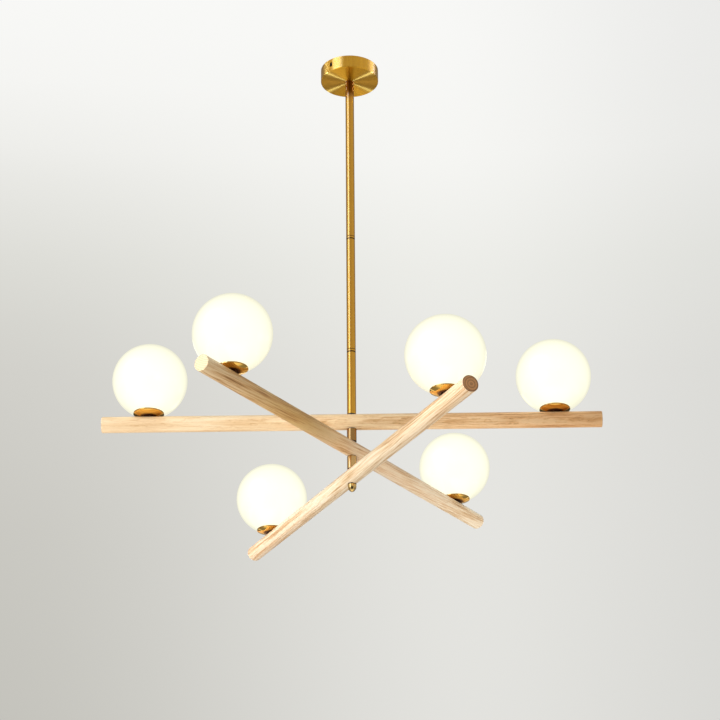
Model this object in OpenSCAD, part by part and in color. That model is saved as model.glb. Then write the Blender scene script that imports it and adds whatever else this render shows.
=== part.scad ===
// Orb chandelier: three crossed wooden bars on a brass stem, an opal glass
// globe near each end of every bar. Millimetres, +Z up. The origin is on the
// stem's axis in the ceiling plane, and +X runs along the upper bar.

/* [Canopy] */
// Outside diameter of the ceiling canopy
canopy_d = 122; // [118:1:140]
// Height of the canopy, ceiling to underside
canopy_h = 28; // [27:1:40]
// Sheet thickness of the canopy
canopy_wall = 1.2; // [0.8:0.1:1.6]
// Direction of the canopy's two side screws, from the upper bar
screw_turn = 51; // [0:1:90]

/* [Stem] */
// Outside diameter of the stem tubes
tube_d = 18; // [17:0.5:20]
// Wall of the stem tubes
tube_wall = 1; // [0.8:0.1:1.2]
// Length of the upper stem tube
tube_upper_l = 374; // [120:1:600]
// Length of the middle stem tube
tube_middle_l = 250; // [120:5:400]
// Length of the lower stem tube
tube_lower_l = 135; // [60:5:300]
// Height of the plain ring between two tubes
ring_h = 6; // [4:1:10]

/* [Bars] */
// Length of each wooden bar
bar_l = 990; // [900:10:1200]
// Diameter of each wooden bar
bar_d = 32; // [30:1:36]
// Direction of the middle bar, from the upper bar
middle_turn = 58; // [40:1:80]
// Direction of the lower bar, from the upper bar
lower_turn = -64; // [-80:1:-50]
// Length of the brass spacers between bars
spacer_l = 25.5; // [20:0.5:60]
// Diameter of the brass spacers
spacer_d = 19; // [18:0.5:19.5]

/* [Globes] */
// Outside diameter of each glass globe
globe_d = 150; // [120:1:160]
// Wall of the glass
globe_wall = 2.5; // [2:0.1:3.5]
// Globe centre to the end of its bar
globe_inset = 92; // [86:1:130]
// Diameter of the hole in the bottom of the globe
globe_hole_d = 40; // [40:0.5:44]
// Diameter of the cup that the globe sits in
cup_d = 61; // [60:1:72]

/* [Finial] */
// Height of the end nut below the lowest bar
finial_h = 15; // [14:0.5:30]

/* [Hidden] */
$fn = 64;

brass = [0.78, 0.58, 0.25];
cup_brass = [0.66, 0.45, 0.16];
oak = [0.82, 0.66, 0.46];
opal = [0.98, 0.97, 0.92];
steel = [0.72, 0.73, 0.75];
black = [0.08, 0.08, 0.08];
ceramic = [0.93, 0.92, 0.88];
lead_white = [0.9, 0.9, 0.88];
earth_green = [0.35, 0.6, 0.15];

// Radial play between a threaded rod and its hole
play = 0.05;
rod_r = 5;
rod_bore_r = 3.7;
lead_r = 0.95;
washer_t = 1.2;
// Play between a turning bar and the washer on each side of it
turn_gap = 0.1;

// Heights down the stem
z_canopy = -canopy_h;
z_ring_u = z_canopy - tube_upper_l;
z_middle = z_ring_u - ring_h;
z_ring_l = z_middle - tube_middle_l;
z_lower = z_ring_l - ring_h;
z_hub = z_lower - tube_lower_l;

// Each bar has a flat, flat_h from its axis, above and below its hub hole
bar_r = bar_d / 2;
flat_h = bar_r - 1;
bar_pitch = 2 * (flat_h + turn_gap + washer_t) + spacer_l;
bar_z = [for (i = [0:2]) z_hub - washer_t - turn_gap - flat_h - i * bar_pitch];
bar_turn = [0, middle_turn, lower_turn];
z_finial = bar_z[2] - flat_h - turn_gap - washer_t;

// Heights above a bar's axis, at a globe
groove_z = 3;
groove_w = 8;
strip_z = 8;
lead_z = groove_z + 1.2;
globe_x = bar_l / 2 - globe_inset;
globe_r = globe_d / 2;
cup_in = globe_r + 1;
cup_out = cup_in + 1.8;
globe_z = flat_h + 0.7 + cup_out;
cup_floor = flat_h + 3.1;
clip_t = 0.6;
holder_z = cup_floor + clip_t;
holder_h = 18;
bulb_z = holder_z + holder_h + 0.2;
pin_y = 4.5;

// ---- helpers ----
module at_bar(i) translate([0, 0, bar_z[i]]) rotate([0, 0, bar_turn[i]]) children();
// side is -1 for the left globe and 1 for the right one
module at_globe(side) rotate([0, 0, side < 0 ? 180 : 0]) translate([globe_x, 0, 0]) children();
module tube(r_out, r_in, h) difference() {
  cylinder(r = r_out, h = h);
  translate([0, 0, -1]) cylinder(r = r_in, h = h + 2);
}

function unit(v) = v / norm(v);
function tangent(p, i) = unit(
  (i < len(p) - 1 ? unit(p[i + 1] - p[i]) : [0, 0, 0]) + (i > 0 ? unit(p[i] - p[i - 1]) : [0, 0, 0]));
function side_of(t) = unit(cross(t, abs(t[2]) < 0.8 ? [0, 0, 1] : [0, 1, 0]));
function carry(u, t) = unit(u - (u * t) * t);
function sides(p, i, u) = i >= len(p) ? [] :
  let (v = carry(u, tangent(p, i))) concat([v], sides(p, i + 1, v));
// A wire of radius r along the points p, with n flat sides
module wire(p, r = lead_r, n = 8) {
  u = sides(p, 0, side_of(tangent(p, 0)));
  m = len(p);
  pts = [for (i = [0:m - 1]) let (t = tangent(p, i), w = cross(t, u[i])) for (k = [0:n - 1])
    let (a = (k + 0.5) * 360 / n) p[i] + r * (cos(a) * u[i] + sin(a) * w)];
  polyhedron(pts, concat(
    [[for (k = [0:n - 1]) k]],
    [for (i = [0:m - 2]) for (k = [0:n - 1]) let (a = i * n + k, b = i * n + (k + 1) % n) each
      [[a, a + n, b], [b, a + n, b + n]]],
    [[for (k = [n - 1:-1:0]) (m - 1) * n + k]]));
}
// A smooth run of points through the points p
function spline(p, n) = let (m = len(p)) concat([for (i = [0:m - 2]) for (k = [0:n - 1])
  let (t = k / n, a = p[max(i - 1, 0)], b = p[i], c = p[i + 1], d = p[min(i + 2, m - 1)])
  0.5 * (2 * b + (c - a) * t + (2 * a - 5 * b + 4 * c - d) * t * t + (3 * b - a - 3 * c + d) * t * t * t)],
  [p[m - 1]]);
function spin(v, a) = [v[0] * cos(a) - v[1] * sin(a), v[0] * sin(a) + v[1] * cos(a), v[2]];

// ---- ceiling group ----
bracket_half = canopy_d / 2 - canopy_wall - 2.3;
bracket_w = 22;
bracket_t = 2;
screw_z = -13;
ceiling_hole_x = 42;
earth_x = -16;
pole_x = [14.5, 22, 29.5];
pole_z = -9;

module ceiling_bracket() color(steel) rotate([0, 0, screw_turn]) difference() {
  union() {
    translate([-bracket_half, -bracket_w / 2, -bracket_t]) cube([2 * bracket_half, bracket_w, bracket_t]);
    for (s = [-1, 1]) translate([s * (bracket_half - bracket_t / 2) - bracket_t / 2, -bracket_w / 2, -20])
      cube([bracket_t, bracket_w, 20 - bracket_t / 2]);
  }
  for (s = [-1, 1]) {
    translate([s * ceiling_hole_x, 0, -5]) cylinder(r = 2.6, h = 10);
    translate([s * bracket_half, 0, screw_z]) rotate([0, 90, 0]) translate([0, 0, -6]) cylinder(r = 2 + play, h = 12);
  }
  translate([0, 0, -5]) cylinder(r = 6, h = 10);
  translate([earth_x, 0, -5]) cylinder(r = 2 + play, h = 10);
  for (x = [18.25, 25.75]) translate([x, 0, -5]) cylinder(r = 1.6, h = 10);
}

module earth_screw() color(brass) rotate([0, 0, screw_turn]) translate([earth_x, 0, 0]) difference() {
  union() {
    translate([0, 0, -3.5]) cylinder(r = 2, h = 3.3);
    translate([0, 0, -5.6]) cylinder(r = 3.6, h = 2.7);
  }
  translate([-4, -0.5, -6]) cube([8, 1, 1.6]);
}

module earth_lead() color(earth_green) rotate([0, 0, screw_turn]) {
  translate([earth_x, 0, -2.9]) tube(4.2, 2.2, 0.8);
  translate([earth_x + 3.9, -0.3, -4.2]) cube([3, 2.8, 2.1]);
  wire(spline([[earth_x + 4.9, 1.1, -3.15], [earth_x + 6.6, 2, -3.4], [earth_x + 7.6, 5, -4.5], [-5, 10.5, -7.5], [4, 14, -9], [11, 14, -9],
    [14.5, 11, -9], [14.5, 5, -9]], 3));
}

module terminal_block() color([0.94, 0.94, 0.92]) rotate([0, 0, screw_turn]) difference() {
  union() {
    for (x = pole_x) translate([x - 3.5, -8.5, -15]) cube([7, 17, 13]);
    translate([pole_x[0], -5, -12]) cube([pole_x[2] - pole_x[0], 10, 10]);
    for (x = [18.25, 25.75]) translate([x, 0, -2.5]) cylinder(r = 1.5, h = 2.3);
  }
  for (x = pole_x) {
    translate([x, -10, pole_z]) rotate([-90, 0, 0]) cylinder(r = 1.6, h = 20);
    for (y = [-5.5, 5.5]) translate([x, y, -16]) cylinder(r = 2, h = 16 + pole_z);
  }
}

module terminal_screws() color(brass) rotate([0, 0, screw_turn]) for (x = pole_x, y = [-5.5, 5.5])
  translate([x, y, -14.5]) difference() {
    cylinder(r = 1.85, h = 4.3);
    translate([-3, -0.3, -1]) cube([6, 0.6, 1.8]);
  }

module canopy_profile(r, h, c) polygon([[0, 0], [r, 0], [r, -h + c], [r - 0.3 * c, -h + 0.3 * c], [r - c, -h], [0, -h]]);
module canopy() color(brass) difference() {
  rotate_extrude($fn = 128) canopy_profile(canopy_d / 2, canopy_h, 1);
  translate([0, 0, -canopy_h + canopy_wall]) cylinder(r = canopy_d / 2 - canopy_wall, h = canopy_h + 1, $fn = 128);
  translate([0, 0, -canopy_h - 1]) cylinder(r = rod_r + play, h = 5);
  // upright side slots, so that the canopy closes up against the ceiling
  for (s = [0, 180]) rotate([0, 0, screw_turn + s]) translate([canopy_d / 2 - 4, 0, screw_z])
    rotate([0, 90, 0]) {
      for (d = [-2.6, 2.6]) translate([d, 0, 0]) cylinder(r = 3, h = 8);
      translate([-2.6, -3, 0]) cube([5.2, 6, 8]);
    }
}

module canopy_side_screws() color(black) for (s = [0, 180]) rotate([0, 0, screw_turn + s])
  translate([bracket_half - bracket_t - 4, 0, screw_z]) rotate([0, 90, 0]) difference() {
    union() {
      cylinder(r = 2, h = bracket_t + 5);
      translate([0, 0, bracket_t + 4 + 0.3]) cylinder(r = 2.8, h = 2.4);
    }
    translate([0, 0, bracket_t + 5.2]) cylinder(r = 1.25, h = 4, $fn = 6);
  }

nipple_top = z_canopy + 11;
module top_nipple() color(brass) translate([0, 0, z_canopy - 11]) tube(rod_r, rod_bore_r, 11 + nipple_top - z_canopy);
module canopy_washer() color(steel) translate([0, 0, z_canopy + canopy_wall]) tube(14, rod_r + play, 1.5);
module canopy_nut() color(brass) translate([0, 0, z_canopy + canopy_wall + 1.5]) difference() {
  cylinder(r = 14 / sqrt(3), h = 5, $fn = 6);
  translate([0, 0, -1]) cylinder(r = rod_r + play, h = 8);
}

// ---- stem ----
bush_l = 12;
module stem_tube(z, l) color(brass) translate([0, 0, z - l]) tube(tube_d / 2, tube_d / 2 - tube_wall, l);
module stem_upper() stem_tube(z_canopy, tube_upper_l);
module stem_middle() stem_tube(z_middle, tube_middle_l);
module stem_lower() stem_tube(z_lower, tube_lower_l);
module stem_bushes() color(brass) for (z = [z_canopy, z_middle, z_lower, z_ring_u + bush_l, z_ring_l + bush_l, z_hub + bush_l])
  translate([0, 0, z - bush_l]) tube(tube_d / 2 - tube_wall - play, rod_r + play, bush_l);
module stem_ring(z) color(brass) translate([0, 0, z - ring_h]) difference() {
  union() {
    // undercut at each end, so that the joints show as dark lines
    translate([0, 0, 0.9]) cylinder(r = tube_d / 2, h = ring_h - 1.4);
    cylinder(r = tube_d / 2 - 0.9, h = ring_h);
    translate([0, 0, -10]) cylinder(r = rod_r, h = ring_h + 20);
  }
  translate([0, 0, -11]) cylinder(r = rod_bore_r, h = ring_h + 22);
}
module stem_ring_upper() stem_ring(z_ring_u);
module stem_ring_lower() stem_ring(z_ring_l);

// ---- hub ----
rod_top = z_hub + 11;
rod_bottom = z_finial - 10;
module hub_rod() color(brass) difference() {
  translate([0, 0, rod_bottom]) tube(rod_r, rod_bore_r, rod_top - rod_bottom);
  // windows where the leads go out into each bar's groove
  for (i = [0:2]) at_bar(i) translate([-8, -3, lead_z - 2.4]) cube([16, 6, 5]);
}
module hub_washers() color(black) {
  for (z = concat([z_hub - washer_t], [for (i = [0:1], s = [0, 1])
      bar_z[i] - flat_h - turn_gap - washer_t - s * (spacer_l + washer_t)], [z_finial]))
    translate([0, 0, z]) tube(tube_d / 2 - 0.3, rod_r + play, washer_t);
}
module hub_spacers() color(brass) for (i = [0:1])
  translate([0, 0, bar_z[i] - flat_h - turn_gap - washer_t - spacer_l]) tube(spacer_d / 2, rod_r + play, spacer_l);
module finial() color(brass) translate([0, 0, z_finial]) difference() {
  rotate_extrude() polygon(concat([[0, 0], [8.2, 0], [8.7, -0.5], [8.7, -3.5]],
    [for (k = [1:10]) let (a = k * 8) [1.4 + 7.3 * pow(cos(a), 1.3), -3.5 - (finial_h - 3.6) * sin(a)]],
    [[1.6, -finial_h], [0, -finial_h]]));
  translate([0, 0, -11]) cylinder(r = rod_r + play, h = 12);
}

// ---- leads ----
// Place of each bar's lead in the rod, as a direction about the stem's axis
lead_ring = 2.65;
sleeve_h = 6;
// Straight down into the mouth of the nipple at q
function mouth(q) = [for (z = [3, 1.5, -5]) [q[0], q[1], nipple_top + z]];
module supply_leads() color(lead_white) {
  p = [[lead_ring, 0], [0, lead_ring], [0, -lead_ring]];
  c = [lead_ring * cos(bar_turn[1] - 90), lead_ring * sin(bar_turn[1] - 90)];
  e = lead_z + sleeve_h;
  // out of the terminal block, over the nipple's mouth and down the stem
  a0 = [for (v = [[14.5, -5, -9], [14.5, -10.5, -9], [11, -13, -9], [6, -9, -9.5], [3.6, -4, -10.5]]) spin(v, screw_turn)];
  a1 = [for (v = [[22, -5, -9], [22, -12, -9], [18, -16.5, -9], [11, -15, -7.5], [6.5, -8, -6.5], [6, -1, -8]]) spin(v, screw_turn)];
  a2 = [for (v = [[29.5, -5, -9], [29.5, -14, -9], [24, -20, -9], [10, -20, -8.5], [-3, -16, -8], [-8, -8, -7], [-6, -1, -7]]) spin(v, screw_turn)];
  wire(concat(spline(concat(a0, mouth(p[0])), 3),
    [[p[0][0], p[0][1], bar_z[0] + e + 14], [p[0][0] / 2, p[0][1] / 2, bar_z[0] + e + 7], [0, 0, bar_z[0] + e + 1.5], [0, 0, bar_z[0] + e]]));
  wire(concat(spline(concat(a1, mouth(p[1])), 3),
    [[p[1][0], p[1][1], bar_z[0] - 12], [p[1][0], p[1][1], bar_z[1] + e + 14], [p[1][0] / 2, p[1][1] / 2, bar_z[1] + e + 7],
     [0, 0, bar_z[1] + e + 1.5], [0, 0, bar_z[1] + e]]));
  wire(concat(spline(concat(a2, mouth(p[2])), 3),
    [[p[2][0], p[2][1], bar_z[0] - 8], [c[0], c[1], bar_z[1] + 14], [c[0], c[1], bar_z[1] - 8], [c[0], c[1], bar_z[2] + e + 14],
     [c[0] / 2, c[1] / 2, bar_z[2] + e + 7], [0, 0, bar_z[2] + e + 1.5], [0, 0, bar_z[2] + e]]));
}
// One lead from lampholder to lampholder, with a crimp sleeve on the stem's axis
module lamp_leads(i) color(lead_white) at_bar(i) {
  bend = 4;
  up = holder_z + 5;
  half = concat([[globe_x, 0, up]],
    [for (k = [0:4]) let (a = k * 22.5) [globe_x - bend + bend * cos(a), 0, lead_z + bend - bend * sin(a)]]);
  wire(concat([for (v = half) v], [for (k = [len(half) - 1:-1:0]) [-half[k][0], 0, half[k][2]]]));
  translate([0, 0, lead_z - 0.4]) cylinder(r = 1.3, h = 0.4 + sleeve_h);
}

// ---- bars ----
module bar_blank() rotate([0, 90, 0]) rotate_extrude($fn = 96) polygon([[0, -bar_l / 2], [bar_r - 0.8, -bar_l / 2],
  [bar_r, -bar_l / 2 + 0.8], [bar_r, bar_l / 2 - 0.8], [bar_r - 0.8, bar_l / 2], [0, bar_l / 2]]);
module bar(i) color(oak) at_bar(i) difference() {
  bar_blank();
  translate([-globe_x, -groove_w / 2, groove_z]) cube([2 * globe_x, groove_w, bar_r]);
  translate([0, 0, -bar_r - 1]) cylinder(r = rod_r + play, h = bar_d + 2);
  for (s = [0, 180]) rotate([s, 0, 0]) translate([0, 0, flat_h]) cylinder(r = 10, h = 5);
  for (s = [-1, 1]) at_globe(s) {
    translate([0, 0, groove_z]) cylinder(r = rod_r + play, h = bar_r);
    translate([0, 0, flat_h]) cylinder(r = 11, h = 5);
  }
}
// Wooden strips that close the wiring groove, flush with the bar
module groove_strips(i) color(oak) at_bar(i) for (s = [0, 180]) rotate([0, 0, s]) intersection() {
  translate([10.2, -groove_w / 2 + 0.1, strip_z]) cube([globe_x - 21.4, groove_w - 0.2, 12]);
  rotate([0, 90, 0]) translate([0, 0, 5]) cylinder(r = bar_r, h = globe_x, $fn = 96);
}

// ---- globe fittings ----
module cup(i, side) color(cup_brass) at_bar(i) at_globe(side) difference() {
  union() {
    intersection() {
      translate([0, 0, globe_z]) sphere(r = cup_out, $fn = 160);
      cylinder(r = cup_d / 2, h = globe_z - 20, $fn = 96);
    }
    translate([0, 0, flat_h]) cylinder(r = 10, h = 3);
  }
  translate([0, 0, globe_z]) sphere(r = cup_in, $fn = 160);
  translate([0, 0, cup_floor]) cylinder(r = 11, h = 5);
  translate([0, 0, 5]) cylinder(r = rod_r + play, h = 20);
}
module cup_nipples(i) color(brass) at_bar(i) for (s = [-1, 1]) at_globe(s)
  translate([0, 0, 6.5]) tube(rod_r, rod_bore_r, holder_z + 4.9 - 6.5);
module seat_rings(i) color([0.9, 0.9, 0.88]) at_bar(i) for (s = [-1, 1]) at_globe(s) intersection() {
  translate([0, 0, globe_z]) difference() {
    sphere(r = cup_in - 0.05, $fn = 160);
    sphere(r = globe_r + 0.35, $fn = 160);
  }
  tube(cup_d / 2 - 2.5, 24, globe_z - 40);
}
// Sheet spring with three leaves that stand inside the globe's hole
module globe_clips(i) color(steel) at_bar(i) for (s = [-1, 1]) at_globe(s) {
  r = globe_hole_d / 2 - 0.3;
  // the foot of a leaf stands just clear of the cup's rising floor
  foot = globe_z - sqrt(cup_in * cup_in - r * r) + 0.3;
  difference() {
    union() {
      translate([0, 0, cup_floor]) cylinder(r = 8.9, h = clip_t);
      for (a = [90, 210, 330]) rotate([0, 0, a]) translate([0, 3, 0]) rotate([90, 0, 0]) linear_extrude(height = 6)
        polygon([[7, cup_floor], [9, cup_floor], [r, foot], [r, cup_floor + 12], [r - 0.6, cup_floor + 12],
          [r - 0.6, foot + 0.5], [9, cup_floor + clip_t], [7, cup_floor + clip_t]]);
    }
    translate([0, 0, 5]) cylinder(r = rod_r + play, h = 30);
  }
}
module lampholders(i) color(ceramic) at_bar(i) for (s = [-1, 1]) at_globe(s) difference() {
  union() {
    translate([0, 0, holder_z]) cylinder(r = 8.5, h = 4);
    translate([0, 0, holder_z + 2]) cylinder(r = 10, h = holder_h - 2);
  }
  translate([0, 0, holder_z - 1]) cylinder(r = rod_r + play, h = 6);
  for (y = [-pin_y, pin_y]) translate([0, y, bulb_z - 8]) cylinder(r = 0.9, h = 12);
}
module globe(i, side) color(opal) at_bar(i) at_globe(side) translate([0, 0, globe_z]) difference() {
  sphere(r = globe_r, $fn = 160);
  sphere(r = globe_r - globe_wall, $fn = 160);
  translate([0, 0, -globe_r - 5]) cylinder(r = globe_hole_d / 2, h = 40);
}
module bulb(i, side) color([1, 0.98, 0.9]) at_bar(i) at_globe(side) translate([0, 0, bulb_z]) {
  rotate_extrude() polygon(concat([[0, 0], [7, 0], [7.4, 0.4], [7.4, 13], [8, 14], [8, 42]],
    [for (k = [1:8]) [8 * cos(k * 11.25), 42 + 8 * sin(k * 11.25)]]));
  for (y = [-pin_y, pin_y]) translate([0, y, -7]) cylinder(r = 0.6, h = 8);
}

ceiling_bracket();
earth_screw();
earth_lead();
terminal_block();
terminal_screws();
canopy();
canopy_side_screws();
top_nipple();
canopy_washer();
canopy_nut();
stem_upper();
stem_ring_upper();
stem_middle();
stem_ring_lower();
stem_lower();
stem_bushes();
hub_rod();
hub_washers();
hub_spacers();
finial();
supply_leads();
bar(0);  // bar_upper
bar(1);  // bar_middle
bar(2);  // bar_lower
groove_strips(0);  // groove_strips_upper
groove_strips(1);  // groove_strips_middle
groove_strips(2);  // groove_strips_lower
lamp_leads(0);  // lamp_leads_upper
lamp_leads(1);  // lamp_leads_middle
lamp_leads(2);  // lamp_leads_lower
cup_nipples(0);  // cup_nipples_upper
cup_nipples(1);  // cup_nipples_middle
cup_nipples(2);  // cup_nipples_lower
globe_clips(0);  // globe_clips_upper
globe_clips(1);  // globe_clips_middle
globe_clips(2);  // globe_clips_lower
seat_rings(0);  // seat_rings_upper
seat_rings(1);  // seat_rings_middle
seat_rings(2);  // seat_rings_lower
lampholders(0);  // lampholders_upper
lampholders(1);  // lampholders_middle
lampholders(2);  // lampholders_lower
cup(0, -1);  // cup_upper_left
cup(0, 1);  // cup_upper_right
cup(1, -1);  // cup_middle_left
cup(1, 1);  // cup_middle_right
cup(2, -1);  // cup_lower_left
cup(2, 1);  // cup_lower_right
globe(0, -1);  // globe_upper_left
globe(0, 1);  // globe_upper_right
globe(1, -1);  // globe_middle_left
globe(1, 1);  // globe_middle_right
globe(2, -1);  // globe_lower_left
globe(2, 1);  // globe_lower_right
bulb(0, -1);  // bulb_upper_left
bulb(0, 1);  // bulb_upper_right
bulb(1, -1);  // bulb_middle_left
bulb(1, 1);  // bulb_middle_right
bulb(2, -1);  // bulb_lower_left
bulb(2, 1);  // bulb_lower_right
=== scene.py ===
import bpy, bmesh, math
from mathutils import Matrix, Vector


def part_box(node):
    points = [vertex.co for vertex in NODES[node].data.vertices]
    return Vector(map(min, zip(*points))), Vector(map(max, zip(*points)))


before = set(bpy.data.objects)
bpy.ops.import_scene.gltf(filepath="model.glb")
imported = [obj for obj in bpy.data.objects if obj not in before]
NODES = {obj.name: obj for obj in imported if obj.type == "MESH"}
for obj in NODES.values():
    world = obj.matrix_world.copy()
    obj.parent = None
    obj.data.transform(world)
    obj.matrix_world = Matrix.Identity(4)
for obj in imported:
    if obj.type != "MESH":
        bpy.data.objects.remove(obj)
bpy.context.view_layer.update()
scene = bpy.context.scene
rad = math.radians

BARS = ("upper", "middle", "lower")
SIDES = ("left", "right")
TURN = {"upper": 0.0, "middle": 58.0, "lower": -64.0}
BAR_L, BAR_R = 0.990, 0.016
GLOBE_X, GLOBE_R, GLOBE_DZ = 0.403, 0.075, 0.0935


def mid(node):
    lo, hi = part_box(node)
    return (lo + hi) / 2


BAR_Z = {b: mid("bar_" + b).z for b in BARS}


def globe_axis(b, side):
    """The point of a globe's upright axis at the height of its bar's axis."""
    a = rad(TURN[b] + (180 if side == "left" else 0))
    return Vector((GLOBE_X * math.cos(a), GLOBE_X * math.sin(a), BAR_Z[b]))


# ---------------------------------------------------------------- camera
def make_camera():
    yaw, pitch, roll = rad(-0.584), rad(24.569), rad(-0.463)
    f = Vector((math.sin(yaw) * math.cos(pitch), math.cos(yaw) * math.cos(pitch), math.sin(pitch)))
    r = Vector((math.cos(yaw), -math.sin(yaw), 0))
    u = r.cross(f)
    r2 = math.cos(roll) * r + math.sin(roll) * u
    u2 = -math.sin(roll) * r + math.cos(roll) * u
    data = bpy.data.cameras.new("camera")
    data.sensor_width = 36.0
    data.lens = 36.0 * 2120.5 / 720
    data.clip_start, data.clip_end = 0.05, 200.0
    cam = bpy.data.objects.new("camera", data)
    m = Matrix((r2, u2, -f)).transposed().to_4x4()
    m.translation = Vector((0.0569, -3.8694, -2.4494))
    cam.matrix_world = m
    scene.collection.objects.link(cam)
    scene.camera = cam


make_camera()


# ---------------------------------------------------------------- node helpers
class Tree:
    """A short hand for building shader nodes."""

    def __init__(self, nt):
        self.nt = nt
        nt.nodes.clear()

    def node(self, kind, **props):
        n = self.nt.nodes.new(kind)
        for k, v in props.items():
            setattr(n, k, v)
        return n

    def put(self, socket, value):
        if isinstance(value, bpy.types.NodeSocket):
            self.nt.links.new(value, socket)
        elif value is not None:
            socket.default_value = value

    def math(self, op, a, b=None, c=None, clamp=False):
        n = self.node("ShaderNodeMath", operation=op, use_clamp=clamp)
        for s, v in zip(n.inputs, (a, b, c)):
            self.put(s, v)
        return n.outputs[0]

    def vec(self, op, a, b=None, scale=None):
        n = self.node("ShaderNodeVectorMath", operation=op)
        self.put(n.inputs[0], a)
        if b is not None:
            self.put(n.inputs[1], b)
        if scale is not None:
            self.put(n.inputs["Scale"], scale)
        return n.outputs["Value"] if op in ("LENGTH", "DOT_PRODUCT", "DISTANCE") else n.outputs[0]

    def sep(self, v):
        n = self.node("ShaderNodeSeparateXYZ")
        self.put(n.inputs[0], v)
        return n.outputs

    def comb(self, x, y, z):
        n = self.node("ShaderNodeCombineXYZ")
        for s, v in zip(n.inputs, (x, y, z)):
            self.put(s, v)
        return n.outputs[0]

    def noise(self, vector, scale=1.0, detail=3.0, rough=0.5, lac=2.0, dist=0.0):
        n = self.node("ShaderNodeTexNoise")
        self.put(n.inputs["Vector"], vector)
        for k, v in (("Scale", scale), ("Detail", detail), ("Roughness", rough), ("Lacunarity", lac), ("Distortion", dist)):
            self.put(n.inputs[k], v)
        return n.outputs["Fac"]

    def white(self, value):
        n = self.node("ShaderNodeTexWhiteNoise", noise_dimensions="1D")
        self.put(n.inputs["W"], value)
        return n.outputs["Value"]

    def remap(self, value, a, b, c=0.0, d=1.0, smooth=True):
        n = self.node("ShaderNodeMapRange", interpolation_type="SMOOTHSTEP" if smooth else "LINEAR", clamp=True)
        for s, v in zip(n.inputs, (value, a, b, c, d)):
            self.put(s, v)
        return n.outputs["Result"]

    def mix(self, fac, a, b):
        n = self.node("ShaderNodeMix", data_type="RGBA")
        self.put(n.inputs["Factor"], fac)
        for s, v in ((n.inputs[6], a), (n.inputs[7], b)):
            self.put(s, (*v, 1.0) if isinstance(v, tuple) and len(v) == 3 else v)
        return n.outputs[2]

    def mixf(self, fac, a, b):
        n = self.node("ShaderNodeMix", data_type="FLOAT")
        for s, v in zip((n.inputs[0], n.inputs[2], n.inputs[3]), (fac, a, b)):
            self.put(s, v)
        return n.outputs[0]

    def ramp(self, fac, stops, interp="LINEAR"):
        n = self.node("ShaderNodeValToRGB")
        n.color_ramp.interpolation = interp
        el = n.color_ramp.elements
        while len(el) < len(stops):
            el.new(0.5)
        for e, (p, c) in zip(el, stops):
            e.position, e.color = p, (*c, 1.0)
        self.put(n.inputs[0], fac)
        return n.outputs[0]

    def bump(self, height, strength=0.2, distance=0.001, normal=None):
        n = self.node("ShaderNodeBump")
        self.put(n.inputs["Height"], height)
        n.inputs["Strength"].default_value = strength
        n.inputs["Distance"].default_value = distance
        if normal is not None:
            self.put(n.inputs["Normal"], normal)
        return n.outputs[0]


def material(name):
    m = bpy.data.materials.new(name)
    m.use_nodes = True
    t = Tree(m.node_tree)
    out = t.node("ShaderNodeOutputMaterial")
    b = t.node("ShaderNodeBsdfPrincipled")
    t.nt.links.new(b.outputs[0], out.inputs[0])
    return m, t, b


def coords(t, at=(0, 0, 0), turn=0.0):
    """Object coordinates, in metres, moved and turned into a piece's own frame."""
    tc = t.node("ShaderNodeTexCoord")
    p = t.vec("SUBTRACT", tc.outputs["Object"], tuple(at))
    if turn:
        r = t.node("ShaderNodeVectorRotate", rotation_type="Z_AXIS")
        t.put(r.inputs["Vector"], p)
        r.inputs["Angle"].default_value = -rad(turn)
        p = r.outputs[0]
    return p


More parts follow.
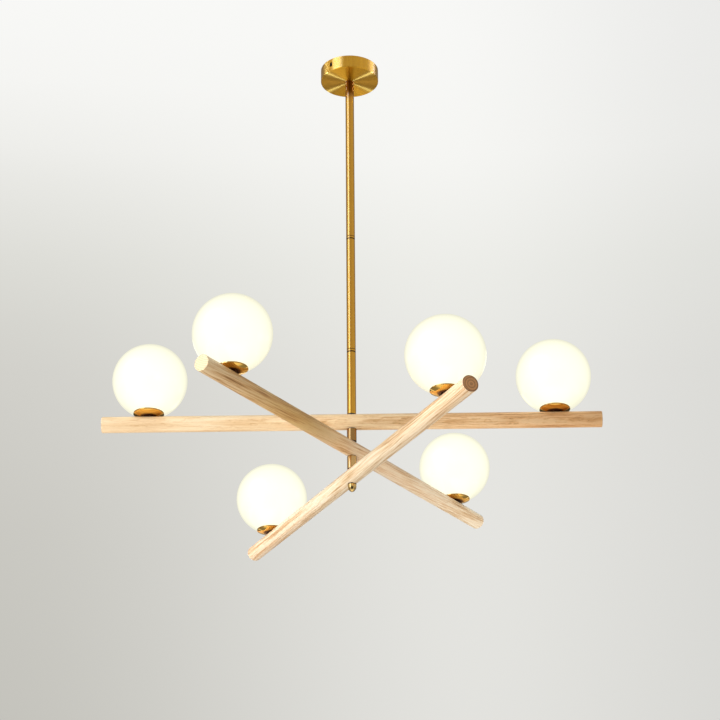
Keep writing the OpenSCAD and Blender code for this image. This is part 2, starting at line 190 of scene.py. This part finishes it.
# ---------------------------------------------------------------- materials
def oak(name, at, turn, seed, pith, tilt, wave, tints_and_shade, dashes, stripes, patches, cut):
    """A turned oak dowel along its own x: growth rings round a pith outside the dowel, pores and rays.
    tints_and_shade are tints at places along it, from 0 at its left end to 1 at its right end: partly the wood's own
    tone change and partly painted shade where less light falls on the bar. dashes, stripes and patches are how strong
    those marks are at its two ends. cut is its end grain: the light and the dark of its rings, their spacing, how dark
    its rim is and where the rings' centre lies."""
    m, t, b = material(name)
    p = coords(t, at, turn)
    s = t.sep(p)
    off = seed * 3.17

    def layer(along, across, move, detail, rough):
        return t.noise(t.vec("ADD", t.vec("MULTIPLY", p, (along, across, across)), tuple(off * k for k in move)), 1.0, detail, rough)

    # slow wander of the grain, much longer along the bar than across it, and a shorter wave
    wander = layer(4.0, 22.0, (1, 1, -1), 2.0, 0.45)
    ripple = layer(20.0, 62.0, (-1, 0.4, 1), 3.0, 0.55)
    w = t.math("ADD", t.math("MULTIPLY", t.math("SUBTRACT", wander, 0.5), 0.034),
               t.math("MULTIPLY", t.math("SUBTRACT", ripple, 0.5), wave))
    along = t.remap(s[0], -BAR_L / 2, BAR_L / 2, smooth=False)
    y = t.math("SUBTRACT", s[1], pith[0])
    z = t.math("SUBTRACT", s[2], t.math("ADD", t.math("MULTIPLY", s[0], tilt), pith[1]))
    dist = t.math("ADD", t.math("SQRT", t.math("ADD", t.math("MULTIPLY", y, y), t.math("MULTIPLY", z, z))), w)
    ring = t.math("DIVIDE", dist, 0.0031)
    frac = t.math("FRACT", ring)
    year = t.white(t.math("ADD", t.math("FLOOR", ring), off))
    # dark early wood at the start of each ring, fading over the rest of the year
    early = t.math("MULTIPLY", t.remap(frac, 0.0, 0.12), t.remap(frac, 0.16, 0.50, 1.0, 0.0))
    early = t.math("MULTIPLY", early, t.mixf(year, 0.25, 1.0))
    # clusters of pores, single pores and fibres, all drawn out along the grain
    cluster = layer(60.0, 430.0, (1, 0, 1), 2.0, 0.55)
    streak = layer(8.0, 360.0, (1, 0, 0), 3.0, 0.60)
    broad = layer(9.0, 75.0, (0, 1, 0), 2.0, 0.5)
    fibre = layer(42.0, 1900.0, (0, 0, 0), 3.0, 0.65)
    fleck = layer(230.0, 520.0, (0, -1, 1), 2.0, 0.6)
    dash = t.remap(layer(75.0, 330.0, (1, 1, 0), 2.0, 0.6), 0.36, 0.60)
    early = t.math("MULTIPLY", early, t.mixf(dash, 0.20, 1.0))
    pore = t.remap(layer(110.0, 1500.0, (0, 1, 0), 1.0, 0.5), 0.56, 0.64)
    pore = t.math("MULTIPLY", pore, t.mixf(early, 0.30, 1.0))
    clump = t.math("MULTIPLY", t.remap(cluster, 0.49, 0.66), t.mixf(early, 0.40, 1.0))
    patch = layer(6.0, 30.0, (0, 0, 1), 2.0, 0.5)
    # fine light and dark lines that follow the rings, and so run in arcs where the rings lie flat
    calm = t.math("SUBTRACT", dist, t.math("MULTIPLY", w, 0.6))
    line = t.noise(t.comb(t.math("MULTIPLY", s[0], 6.0), t.math("MULTIPLY", calm, 400.0), t.math("ADD", t.math("MULTIPLY", y, 25.0), off)), 1.0, 3.0, 0.60)
    dash_k, line_k, patch_k = (t.mixf(along, *ends) for ends in (dashes, stripes, patches))
    v = t.math("ADD", 0.82, t.math("MULTIPLY", t.remap(line, 0.36, 0.64, -1.0, 1.0), line_k))
    for part, k, by in ((t.remap(streak, 0.34, 0.66, -1.0, 1.0), 0.85, line_k), (t.remap(broad, 0.3, 0.7, -1.0, 1.0), 1.0, patch_k), (early, -0.34, dash_k),
                        (clump, -0.26, dash_k), (t.remap(fibre, 0.4, 0.8), -0.08, dash_k), (t.remap(fleck, 0.60, 0.70), 0.08, dash_k), (t.remap(patch, 0.40, 0.66, -0.5, 1.0), 1.0, patch_k)):
        v = t.math("ADD", v, t.math("MULTIPLY", t.math("MULTIPLY", part, k), by))
    c = t.ramp(v, [(0.0, (0.25, 0.125, 0.045)), (0.25, (0.46, 0.255, 0.105)), (0.50, (0.69, 0.445, 0.225)), (0.72, (0.83, 0.605, 0.365)),
                   (0.88, (0.90, 0.705, 0.465)), (1.0, (0.95, 0.79, 0.56))])
    c = t.mix(t.math("MULTIPLY", t.math("MULTIPLY", pore, 0.42), dash_k), c, (0.24, 0.12, 0.045))
    # tints along the bar: partly the wood's own tone, partly painted shade where less light falls on the bar
    tint = t.ramp(along, [(x, tuple(k / 1.4 for k in rgb)) for x, rgb in tints_and_shade], "EASE")
    c = t.vec("MULTIPLY", c, t.vec("SCALE", tint, scale=1.4))
    # end grain: rings cut across, with rows of open pores
    light, dark, space, rimmed, centre = cut
    end = t.remap(t.math("ABSOLUTE", s[0]), BAR_L / 2 - 0.0009, BAR_L / 2 - 0.0004)
    rr = t.math("SQRT", t.math("ADD", t.math("MULTIPLY", s[1], s[1]), t.math("MULTIPLY", s[2], s[2])))
    rim = t.remap(rr, BAR_R - 0.0030, BAR_R - 0.0008)
    ye, ze = t.math("SUBTRACT", s[1], centre[0]), t.math("SUBTRACT", s[2], centre[1])
    plain_dist = t.math("SQRT", t.math("ADD", t.math("MULTIPLY", ye, ye), t.math("MULTIPLY", ze, ze)))
    rf = t.math("FRACT", t.math("DIVIDE", t.math("ADD", plain_dist, t.math("MULTIPLY", t.math("SUBTRACT", patch, 0.5), 0.006)), space))
    rings = t.math("MULTIPLY", t.remap(rf, 0.0, 0.10), t.remap(rf, 0.30, 0.65, 1.0, 0.0))
    dots = t.remap(t.noise(t.vec("MULTIPLY", p, (30.0, 900.0, 900.0)), 1.0, 2.0, 0.6), 0.50, 0.66)
    face = t.mix(t.math("MULTIPLY", rings, 0.62), light, dark)
    face = t.mix(t.math("MULTIPLY", dots, 0.40), face, dark)
    face = t.mix(t.math("MULTIPLY", rim, rimmed), face, tuple(0.5 * k for k in dark))
    c = t.mix(t.math("MULTIPLY", end, 0.95), c, face)
    t.put(b.inputs["Base Color"], c)
    t.put(b.inputs["Roughness"], t.math("ADD", t.mixf(fibre, 0.34, 0.48), t.math("MULTIPLY", end, 0.2)))
    b.inputs["Specular IOR Level"].default_value = 0.5
    h = t.math("SUBTRACT", t.math("MULTIPLY", fibre, 0.35), t.math("ADD", pore, t.math("MULTIPLY", clump, 0.4)))
    t.put(b.inputs["Normal"], t.bump(h, 0.15, 0.0002))
    return m


def brass(name, at=(0, 0), base=(0.93, 0.47, 0.032), dull=(0.70, 0.33, 0.020), rough=(0.32, 0.36), aniso=1.0,
          lines=1.0, coat=0.50, gloss=0.13, bump=0.01, sectors=0.5, cup_dark_reflection=None, under=None, shade_bands=()):
    """Turned brass under a thin lacquer: brush lines run round the upright axis at the given place,
    and the tone changes a little from sector to sector."""
    m, t, b = material(name)
    p = coords(t, (at[0], at[1], 0.0))
    s = t.sep(p)
    r = t.math("SQRT", t.math("ADD", t.math("MULTIPLY", s[0], s[0]), t.math("MULTIPLY", s[1], s[1])))
    a = t.math("ARCTAN2", s[1], s[0])
    ca, sa = t.math("COSINE", a), t.math("SINE", a)
    fine = t.noise(t.comb(t.math("ADD", t.math("MULTIPLY", r, 5200.0), t.math("MULTIPLY", ca, 1.6)),
                          t.math("MULTIPLY", sa, 1.6), t.math("MULTIPLY", s[2], 5200.0)), 1.0, 3.0, 0.7)
    broad = t.noise(t.comb(t.math("ADD", t.math("MULTIPLY", r, 600.0), t.math("MULTIPLY", ca, 1.1)),
                           t.math("MULTIPLY", sa, 1.1), t.math("MULTIPLY", s[2], 260.0)), 1.0, 2.0, 0.6)
    sector = t.noise(t.comb(t.math("MULTIPLY", ca, 9.0), t.math("MULTIPLY", sa, 9.0),
                            t.math("ADD", t.math("MULTIPLY", s[2], 9.0), t.math("MULTIPLY", r, 9.0))), 1.0, 3.0, 0.6)
    cloud = t.noise(p, 28.0, 3.0, 0.55)
    fac = t.math("ADD", t.math("MULTIPLY", t.remap(fine, 0.25, 0.75), 0.30 * lines), t.math("MULTIPLY", t.remap(broad, 0.3, 0.7), 0.25 * lines))
    fac = t.math("ADD", fac, t.math("MULTIPLY", t.remap(sector, 0.35, 0.65), sectors))
    c = t.mix(t.math("MULTIPLY", fac, 1.0, clamp=True), base, dull)
    c = t.mix(t.math("MULTIPLY", t.remap(cloud, 0.45, 0.75), 0.15), c, dull)
    for level, half, soft, how, tone in shade_bands:
        # painted shade: the brass is painted darker at the given heights. On the stem this is painted shade in the ring
        # joints and a painted dark reflection of the canopy's underside just below it; on the spacers, painted shade
        # between the bars
        d = t.math("ABSOLUTE", t.math("SUBTRACT", s[2], level))
        c = t.mix(t.remap(d, half + soft, half, 0.0, how), c, tone)
    if cup_dark_reflection:
        # painted reflection: the middle is painted dark for the shaded bar top that the cup mirrors, and the brass is
        # darker again at the rim
        centre, edge, reach = cup_dark_reflection
        c = t.mix(t.remap(r, reach[0], reach[1], 1.0, 0.0), c, centre)
        c = t.mix(t.remap(r, reach[2], reach[3]), c, edge)
    if under:
        # painted shade: the face that looks down is painted darker, and it has less lacquer (a lower coat weight)
        geo = t.node("ShaderNodeTexCoord")
        low = t.remap(t.sep(geo.outputs["Normal"])[2], -0.75, -0.95, 0.0, 1.0)
        shade = t.node("ShaderNodeMix", data_type="RGBA", blend_type="MULTIPLY")
        t.put(shade.inputs["Factor"], low)
        t.put(shade.inputs[6], c)
        t.put(shade.inputs[7], (*under[0], 1.0))
        c = shade.outputs[2]
    t.put(b.inputs["Base Color"], c)
    b.inputs["Metallic"].default_value = 1.0
    t.put(b.inputs["Roughness"], t.mixf(t.math("MULTIPLY", t.math("ADD", broad, cloud), 0.5), rough[0], rough[1]))
    b.inputs["Anisotropic"].default_value = aniso
    b.inputs["Anisotropic Rotation"].default_value = 0.25
    tan = t.node("ShaderNodeTangent", direction_type="RADIAL", axis="Z")
    t.put(b.inputs["Tangent"], tan.outputs[0])
    if under:
        t.put(b.inputs["Coat Weight"], t.mixf(low, coat, under[1]))
    else:
        b.inputs["Coat Weight"].default_value = coat
    b.inputs["Coat Roughness"].default_value = gloss
    t.put(b.inputs["Normal"], t.bump(broad, bump, 0.00003))
    return m


def plain(name, light, dark, rough=(0.4, 0.5), metallic=0.0, scale=60.0, fine=900.0, bump=0.1, coat=0.0, spec=0.5, sss=0.0):
    """A moulded, cast or plated surface with slow and fine colour change."""
    m, t, b = material(name)
    p = coords(t)
    slow = t.noise(p, scale, 3.0, 0.55)
    grain = t.noise(p, fine, 2.0, 0.6)
    f = t.math("ADD", t.math("MULTIPLY", slow, 0.6), t.math("MULTIPLY", grain, 0.4))
    t.put(b.inputs["Base Color"], t.mix(t.remap(f, 0.3, 0.7), light, dark))
    t.put(b.inputs["Roughness"], t.mixf(f, rough[0], rough[1]))
    b.inputs["Metallic"].default_value = metallic
    b.inputs["Specular IOR Level"].default_value = spec
    b.inputs["Coat Weight"].default_value = coat
    if sss:
        b.inputs["Subsurface Weight"].default_value = sss
        b.inputs["Subsurface Scale"].default_value = 0.002
    t.put(b.inputs["Normal"], t.bump(grain, bump, 0.0001))
    return m


def opal(name, at):
    """Lit opal glass, cream to the eye, with a clear skin that takes a little more of the light at a flat angle."""
    m, t, b = material(name)
    p = coords(t, at)
    cloud = t.noise(p, 22.0, 2.0, 0.5)
    t.put(b.inputs["Base Color"], t.mix(cloud, (0.20, 0.20, 0.19), (0.18, 0.18, 0.17)))
    t.put(b.inputs["Emission Color"], t.mix(cloud, (1.0, 0.985, 0.762), (0.995, 0.98, 0.752)))
    b.inputs["Emission Strength"].default_value = 2.19
    t.put(b.inputs["Roughness"], t.mixf(cloud, 0.16, 0.24))
    b.inputs["Coat Weight"].default_value = 1.0
    b.inputs["Coat Roughness"].default_value = 0.3
    b.inputs["Coat Tint"].default_value = (0.56, 0.56, 0.56, 1.0)
    t.put(b.inputs["Normal"], t.bump(cloud, 0.02, 0.001))
    return m


def assign(names, mat):
    for n in [names] if isinstance(names, str) else names:
        o = NODES[n]
        if not o.material_slots:
            o.data.materials.append(mat)
        for s in o.material_slots:
            s.material = mat


# the canopy's downward face is painted darker: painted shade
SATIN = brass("brass_satin", base=(1.0, 0.53, 0.035), dull=(0.84, 0.41, 0.024), rough=(0.29, 0.33), under=((0.85, 0.82, 0.75), 0.10))
# on the stem: a painted dark reflection of the canopy's underside at the top, and painted shade in the ring joints
TUBE = brass("brass_tube", base=(0.84, 0.42, 0.034), dull=(0.68, 0.32, 0.022), rough=(0.28, 0.30), lines=0.12, sectors=0.0, bump=0.0,
             shade_bands=((-0.040, 0.012, 0.026, 1.0, (0.20, 0.065, 0.003)), (-0.4078, 0.0010, 0.0006, 0.95, (0.05, 0.018, 0.003)), (-0.4022, 0.0005, 0.0006, 0.8, (0.12, 0.045, 0.006)),
                    (-0.6638, 0.0010, 0.0006, 0.95, (0.05, 0.018, 0.003)), (-0.6582, 0.0005, 0.0006, 0.8, (0.12, 0.045, 0.006))))
# the upper spacer is painted darker: painted shade between the upper and middle bars
SPACER = brass("brass_spacer", base=(0.74, 0.46, 0.17), dull=(0.52, 0.31, 0.11), rough=(0.15, 0.18), aniso=0.4, lines=0.2, sectors=0.0, bump=0.0, gloss=0.08,
               shade_bands=((-0.844, 0.013, 0.004, 1.0, (0.42, 0.22, 0.054)),))
KNOB = brass("brass_knob", base=(0.88, 0.58, 0.20), dull=(0.68, 0.41, 0.12), rough=(0.10, 0.13), aniso=0.0, lines=0.2, sectors=0.0, bump=0.0, gloss=0.05)
assign(["canopy"], SATIN)
assign(["stem_upper", "stem_ring_upper", "stem_middle", "stem_ring_lower", "stem_lower"], TUBE)
assign("hub_spacers", SPACER)
assign("finial", KNOB)
PLAIN_BRASS = brass("plain_brass", base=(0.80, 0.55, 0.22), dull=(0.62, 0.38, 0.13), rough=(0.28, 0.4), aniso=0.2, coat=0.0)
assign(["earth_screw", "terminal_screws", "top_nipple", "canopy_nut", "stem_bushes", "hub_rod"], PLAIN_BRASS)
ZINC = plain("zinc_steel", (0.72, 0.73, 0.74), (0.52, 0.53, 0.55), (0.28, 0.42), 1.0, scale=90.0)
assign(["ceiling_bracket", "canopy_washer"] + ["globe_clips_" + b for b in BARS], ZINC)
BLACK = plain("black_steel", (0.008, 0.006, 0.005), (0.004, 0.003, 0.003), (0.45, 0.6), 0.0, spec=0.1)
assign("canopy_side_screws", BLACK)
# the hub washers are near-black: partly dark washers, partly painted shade in the gaps where the tubes meet the bars
WASHER_AND_SHADE = plain("black_nylon", (0.020, 0.010, 0.005), (0.010, 0.005, 0.003), (0.16, 0.24), coat=0.6)
assign("hub_washers", WASHER_AND_SHADE)
assign("supply_leads", plain("white_lead", (0.84, 0.83, 0.80), (0.76, 0.75, 0.72), (0.38, 0.5)))
assign(["lamp_leads_" + b for b in BARS], plain("white_lamp_lead", (0.84, 0.83, 0.80), (0.76, 0.75, 0.72), (0.38, 0.5)))
assign("earth_lead", plain("earth_lead", (0.30, 0.50, 0.05), (0.22, 0.40, 0.04), (0.38, 0.5)))
assign("terminal_block", plain("white_plastic", (0.86, 0.86, 0.84), (0.80, 0.80, 0.78), (0.3, 0.42), sss=0.1))
assign(["seat_rings_" + b for b in BARS], plain("silicone", (0.80, 0.80, 0.77), (0.72, 0.72, 0.69), (0.45, 0.6), sss=0.2))
assign(["lampholders_" + b for b in BARS], plain("ceramic", (0.86, 0.84, 0.79), (0.80, 0.78, 0.72), (0.22, 0.35), coat=0.3))

# pith place across the bar, its lean along the bar, the wave of the grain, tints along the bar (the wood's own tone and
# painted shade), marks, end grain
WOOD = {
    "upper": ((0.058, 0.024), 0.055, 0.0125, [(0.0, (1.05, 1.03, 1.00)), (0.5, (1.06, 1.00, 0.90)), (0.78, (1.04, 0.86, 0.68)), (1.0, (0.82, 0.60, 0.40))],
              (0.35, 0.95), (0.06, 0.26), (0.08, 0.07), ((0.80, 0.60, 0.36), (0.52, 0.31, 0.14), 0.0034, 0.2, (0.058, 0.024))),
    "middle": ((-0.030, 0.048), 0.070, 0.0100, [(0.0, (0.84, 0.77, 0.66)), (0.30, (0.73, 0.58, 0.32)), (0.55, (0.96, 0.93, 0.95)), (1.0, (1.07, 1.14, 1.28))],
               (0.6, 0.45), (0.27, 0.20), (0.22, 0.14), ((0.92, 0.76, 0.48), (0.76, 0.55, 0.29), 0.0040, 0.1, (-0.030, 0.048))),
    "lower": ((-0.052, 0.026), 0.030, 0.0080, [(0.0, (0.93, 0.89, 0.92)), (0.5, (0.90, 0.96, 1.06)), (1.0, (0.95, 0.91, 0.90))],
              (0.40, 0.40), (0.25, 0.25), (0.06, 0.06), ((0.72, 0.35, 0.120), (0.29, 0.115, 0.036), 0.0056, 0.70, (0.0015, -0.001))),
}
for i, b in enumerate(BARS):
    at = (0.0, 0.0, BAR_Z[b])
    assign(["bar_" + b, "groove_strips_" + b], oak("oak_" + b, at, TURN[b], i + 1, *WOOD[b]))
    assign("cup_nipples_" + b, PLAIN_BRASS)
    for side in SIDES:
        g = globe_axis(b, side)
        # each cup's dark middle is a painted reflection of the shaded bar top under it; its rim is darker brass
        assign(f"cup_{b}_{side}", brass(f"cup_brass_{b}_{side}", (g.x, g.y), base=(0.98, 0.60, 0.12), dull=(0.80, 0.42, 0.06),
                                        rough=(0.05, 0.08), aniso=0.0, lines=0.30, coat=0.3, gloss=0.04, bump=0.0, sectors=0.15,
                                        cup_dark_reflection=((0.12, 0.036, 0.007), (0.62, 0.34, 0.07), (0.0138, 0.0190, 0.0294, 0.0303))))
        assign(f"globe_{b}_{side}", opal(f"opal_glass_{b}_{side}", g))
        assign(f"bulb_{b}_{side}", plain(f"bulb_{b}_{side}", (0.95, 0.93, 0.85), (0.90, 0.87, 0.78), (0.15, 0.25), coat=0.5))


# ---------------------------------------------------------------- studio
def smooth_pulse(t, x, centre, half, soft):
    d = t.math("ABSOLUTE", t.math("SUBTRACT", x, centre))
    return t.remap(d, half + soft, half, 0.0, 1.0)


def make_world():
    w = bpy.data.worlds.new("studio")
    scene.world = w
    w.use_nodes = True
    t = Tree(w.node_tree)
    out = t.node("ShaderNodeOutputWorld")
    d = t.node("ShaderNodeTexCoord").outputs["Generated"]
    s = t.sep(d)
    el = t.math("MULTIPLY", t.math("ARCSINE", s[2]), 57.2958)
    # degrees round from the back wall's middle, positive to the right
    back = t.math("MULTIPLY", t.math("ARCTAN2", s[0], s[1]), 57.2958)
    # what the camera sees: a pale wall that goes over into a lighter ceiling and falls off to the left and right
    up = t.remap(el, -10.0, 40.0, 0.0, 1.0, smooth=False)
    wall = t.ramp(up, [(0.0, (0.70, 0.695, 0.672)), (0.50, (0.775, 0.772, 0.740)), (0.68, (0.806, 0.802, 0.770)), (0.74, (0.850, 0.852, 0.815)),
                       (0.80, (0.925, 0.925, 0.900)), (0.86, (0.940, 0.940, 0.922)), (1.0, (0.950, 0.950, 0.940))])
    near = t.math("MULTIPLY", t.remap(t.math("ABSOLUTE", back), 16.0, 60.0, 1.0, 0.0), t.remap(t.math("ABSOLUTE", el), 42.0, 66.0, 1.0, 0.0))
    deep = t.ramp(t.remap(el, 12.0, 34.0, 0.0, 1.0, smooth=False), [(0.0, (0.31,) * 3), (0.35, (0.26,) * 3), (0.60, (0.19,) * 3), (0.78, (0.10,) * 3), (0.90, (0.02,) * 3), (1.0, (0.0,) * 3)])
    left = t.math("MULTIPLY", t.remap(back, 4.0, -12.0), t.math("MULTIPLY", near, deep))
    right = t.math("MULTIPLY", t.remap(back, 1.0, 12.0), t.math("MULTIPLY", near, 0.12))
    wall = t.vec("MULTIPLY", wall, t.comb(*[t.math("SUBTRACT", 1.0, t.math("ADD", t.math("MULTIPLY", left, k), right)) for k in (1.0, 1.03, 1.12)]))
    # what lights the object and is mirrored in the metal: an even room, a lighter floor with a bright edge,
    # a dark skirting low behind and the dark place where the camera stands
    lit = t.math("ADD", t.remap(el, 0.0, 28.0, 0.50, 0.60), t.remap(el, -38.0, -54.0, 0.0, 0.50))
    behind = smooth_pulse(t, back, 0.0, 70.0, 50.0)
    lit = t.math("MULTIPLY", lit, t.math("SUBTRACT", 1.0, t.math("MULTIPLY", smooth_pulse(t, back, 0.0, 45.0, 50.0), t.remap(el, -5.0, 10.0, 0.0, 0.55))))
    lit = t.mixf(t.math("MULTIPLY", behind, smooth_pulse(t, el, -30.0, 15.0, 15.0)), lit, 0.27)
    lit = t.mixf(t.math("MULTIPLY", behind, smooth_pulse(t, el, -14.0, 7.0, 5.0)), lit, 0.06)
    lit = t.mixf(t.math("MULTIPLY", behind, smooth_pulse(t, el, -29.0, 1.2, 1.6)), lit, 1.1)
    front = t.math("SUBTRACT", 180.0, t.math("ABSOLUTE", back))
    lit = t.mixf(t.math("MULTIPLY", t.remap(front, 50.0, 22.0), smooth_pulse(t, el, -28.0, 20.0, 12.0)), lit, 0.03)
    room = t.comb(t.math("MULTIPLY", lit, 1.0), t.math("MULTIPLY", lit, 0.985), t.math("MULTIPLY", lit, 0.955))
    seen = t.node("ShaderNodeLightPath").outputs["Is Camera Ray"]
    bg = t.node("ShaderNodeBackground")
    t.put(bg.inputs[0], t.mix(seen, room, wall))
    t.nt.links.new(bg.outputs[0], out.inputs[0])


make_world()


def area(name, at, look, size, power, colour=(1, 1, 1), spread=180.0):
    l = bpy.data.lights.new(name, "AREA")
    l.shape = "RECTANGLE"
    l.size, l.size_y = size
    l.energy = power
    l.color = colour
    l.spread = rad(spread)
    o = bpy.data.objects.new(name, l)
    o.location = at
    o.rotation_mode = "QUATERNION"
    o.rotation_quaternion = (Vector(look) - Vector(at)).to_track_quat("-Z", "Y")
    o.visible_camera = False
    scene.collection.objects.link(o)
    return o


def around(azimuth, elevation, dist, centre=(0, 0, -0.55)):
    """A place round the object: azimuth from the front, positive to the left."""
    a, e = rad(azimuth), rad(elevation)
    return Vector(centre) + dist * Vector((-math.sin(a) * math.cos(e), -math.cos(a) * math.cos(e), math.sin(e)))


MIDDLE = (0, 0, -0.70)
# one big soft source at the front left: its diffuse light, then its image in the metal with soft sides
key = area("key", around(56, -6, 3.8), MIDDLE, (2.2, 3.4), 150.0, (1.0, 0.985, 0.96))
key.visible_glossy = False
for name, width, power in (("window_core", 7.4, 410.0), ("window_mid", 10.5, 500.0), ("window_wide", 15.0, 300.0)):
    area(name, around(49, 30, 20.0), MIDDLE, (width, 4.4), power, (0.72, 1.08, 2.2)).visible_diffuse = False
area("window_low", around(49, 2, 5.0), MIDDLE, (2.4, 3.4), 42.0, (0.9, 1.0, 1.3)).visible_diffuse = False
for name, x, power in (("left_fill", -2.08, 18.0), ("right_fill", 2.08, 24.0)):
    area(name, Vector((x, 0.75, -1.75)), (0, 0, -0.8), (0.12, 1.1), power, (1.0, 0.90, 0.76)).visible_glossy = False
area("floor_fill", Vector((0, 0, -4.5)), (0, 0.001, 0), (8.0, 8.0), 27.0, (1.0, 0.77, 0.50)).visible_glossy = False
# two small lamps low at the sides draw the rays on the canopy's brushed face, and reach only that
turned = bpy.data.collections.new("turned_face")
turned.objects.link(NODES["canopy"])
for name, place, size, power, colour in (
        ("left_strip", (-2.08, 0.75, -1.75), (0.06, 0.20), 34.0, (0.8, 1.25, 6.0)),
        ("right_strip", (2.08, 0.75, -1.75), (0.06, 0.20), 42.0, (0.8, 1.25, 6.0)),
        ("left_side", (-3.3, 0.55, 2.0), (2.6, 2.0), 4.5, (1.0, 0.90, 0.35)),
        ("right_side", (3.3, 0.75, 2.0), (2.2, 2.0), 9.0, (1.0, 1.05, 1.5)),
        ("right_streak", (2.95, 1.55, 2.05), (0.22, 1.4), 2.6, (0.8, 1.1, 3.0)),
        ("low_panel", (-0.9, 1.3, -3.2), (1.6, 1.6), 12.0, (1.0, 1.05, 1.7))):
    area(name, Vector(place), (0, 0, 0), size, power, colour).light_linking.receiver_collection = turned


def make_floor():
    me = bpy.data.meshes.new("floor")
    bm = bmesh.new()
    bmesh.ops.create_grid(bm, x_segments=2, y_segments=2, size=40.0)
    bm.to_mesh(me)
    bm.free()
    o = bpy.data.objects.new("floor", me)
    o.location = (0, 0, -9.0)
    scene.collection.objects.link(o)
    m, t, b = material("floor_paint")
    p = coords(t)
    n = t.noise(p, 3.0, 3.0, 0.5)
    t.put(b.inputs["Base Color"], t.mix(n, (0.66, 0.655, 0.64), (0.63, 0.625, 0.61)))
    b.inputs["Roughness"].default_value = 0.8
    r = t.vec("LENGTH", p)
    clear = t.node("ShaderNodeBsdfTransparent")
    mixer = t.node("ShaderNodeMixShader")
    t.put(mixer.inputs[0], t.remap(r, 9.0, 34.0))
    out = next(x for x in t.nt.nodes if x.type == "OUTPUT_MATERIAL")
    t.nt.links.new(b.outputs[0], mixer.inputs[1])
    t.nt.links.new(clear.outputs[0], mixer.inputs[2])
    t.nt.links.new(mixer.outputs[0], out.inputs[0])
    me.materials.append(m)
    o.visible_glossy = o.visible_diffuse = False


make_floor()

scene.view_settings.view_transform = "Standard"
scene.view_settings.look = "None"
scene.view_settings.exposure = 0.0
scene.view_settings.gamma = 1.0
